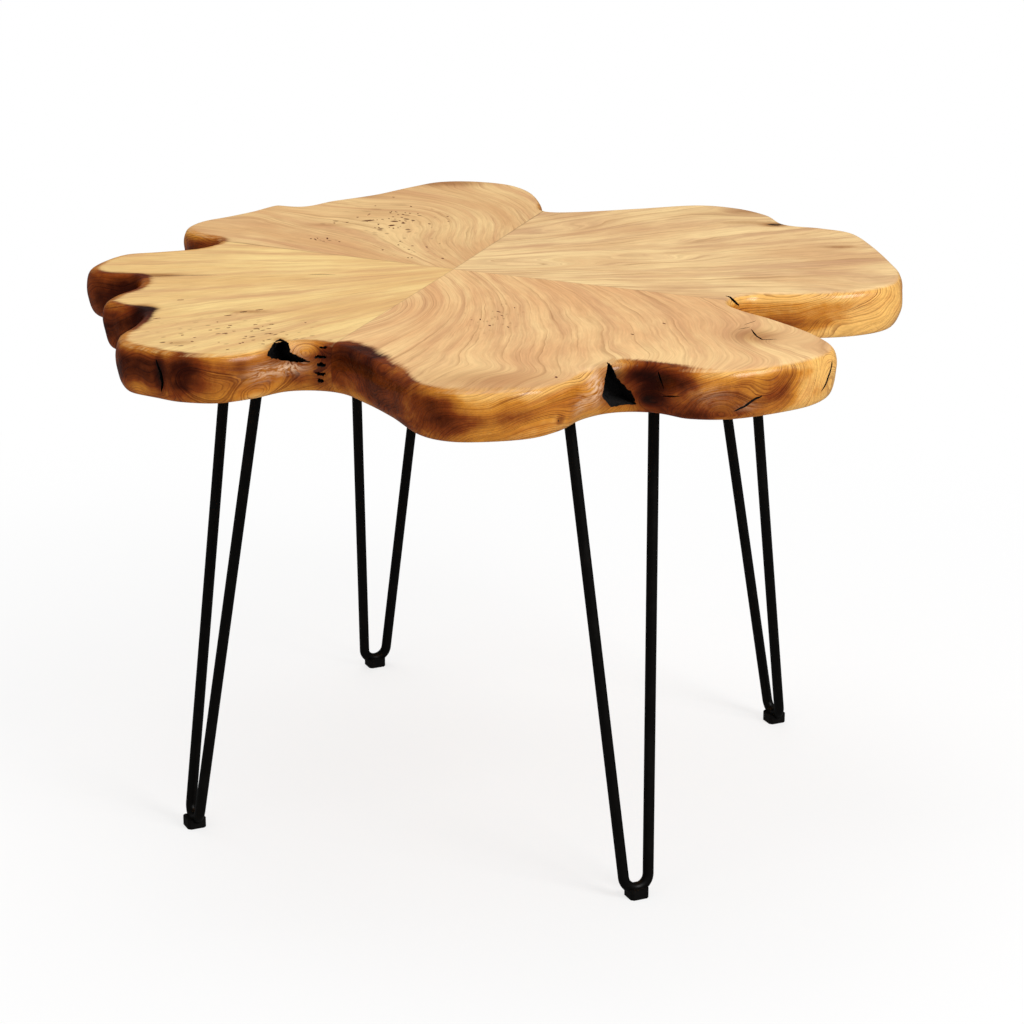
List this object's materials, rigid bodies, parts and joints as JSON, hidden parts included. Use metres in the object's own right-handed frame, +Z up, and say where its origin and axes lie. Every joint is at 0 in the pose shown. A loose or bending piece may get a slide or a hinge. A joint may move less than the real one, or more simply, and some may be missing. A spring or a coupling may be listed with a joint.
{
  "type": "live edge coffee table",
  "caption": "Low table with a lobed live edge wooden top of bookmatched slabs on black hairpin legs.",
  "frame": {"origin": "on the floor, under the middle of the top's width and depth", "axes": "+X to the right and +Y to the back as the picture looks at the table, +Z up"},
  "size_m": [0.8128, 0.8128, 0.5207],
  "materials": {
    "slab_wood": "clear gloss lacquer",
    "dowel_wood": "bare",
    "leg_black": "satin black powder coat",
    "foot_black": "satin",
    "screw_steel": "blackened steel"
  },
  "bodies": {
    "root": {"slab_front": "slab_wood", "slab_right": "slab_wood", "slab_back": "slab_wood", "slab_left": "slab_wood", "dowels_front_right": "dowel_wood", "dowels_back_right": "dowel_wood", "dowels_back_left": "dowel_wood", "dowels_front_left": "dowel_wood", "leg_plate_front_right": "leg_black", "leg_plate_back_right": "leg_black", "leg_plate_back_left": "leg_black", "leg_plate_front_left": "leg_black", "leg_rod_front_right": "leg_black", "leg_rod_back_right": "leg_black", "leg_rod_back_left": "leg_black", "leg_rod_front_left": "leg_black", "foot_clip_front_right": "foot_black", "foot_clip_back_right": "foot_black", "foot_clip_back_left": "foot_black", "foot_clip_front_left": "foot_black", "plate_screws_front_right": "screw_steel", "plate_screws_back_right": "screw_steel", "plate_screws_back_left": "screw_steel", "plate_screws_front_left": "screw_steel"}
  },
  "joints": []
}
